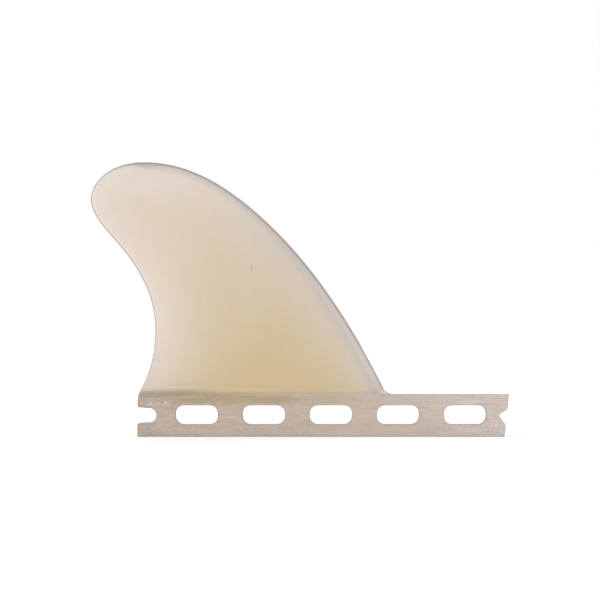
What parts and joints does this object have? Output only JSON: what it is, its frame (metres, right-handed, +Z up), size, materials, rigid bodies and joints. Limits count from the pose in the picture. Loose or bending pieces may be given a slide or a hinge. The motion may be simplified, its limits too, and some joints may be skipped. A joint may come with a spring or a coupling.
{
  "type": "surfboard fin",
  "caption": "Swept side fin for a surfboard: a blade foiled on one face and flat on the other, on a windowed tab with notched ends that fits a fin box.",
  "frame": {"origin": "middle of the tab's underside, half-way along it and half-way through its thickness", "axes": "+X forward, towards the leading edge; +Z up the blade to its tip; +Y out of the flat inner face"},
  "size_m": [0.1587, 0.0066, 0.104],
  "materials": {
    "laminate": "satin"
  },
  "bodies": {
    "root": {"fin": "laminate"}
  },
  "joints": []
}
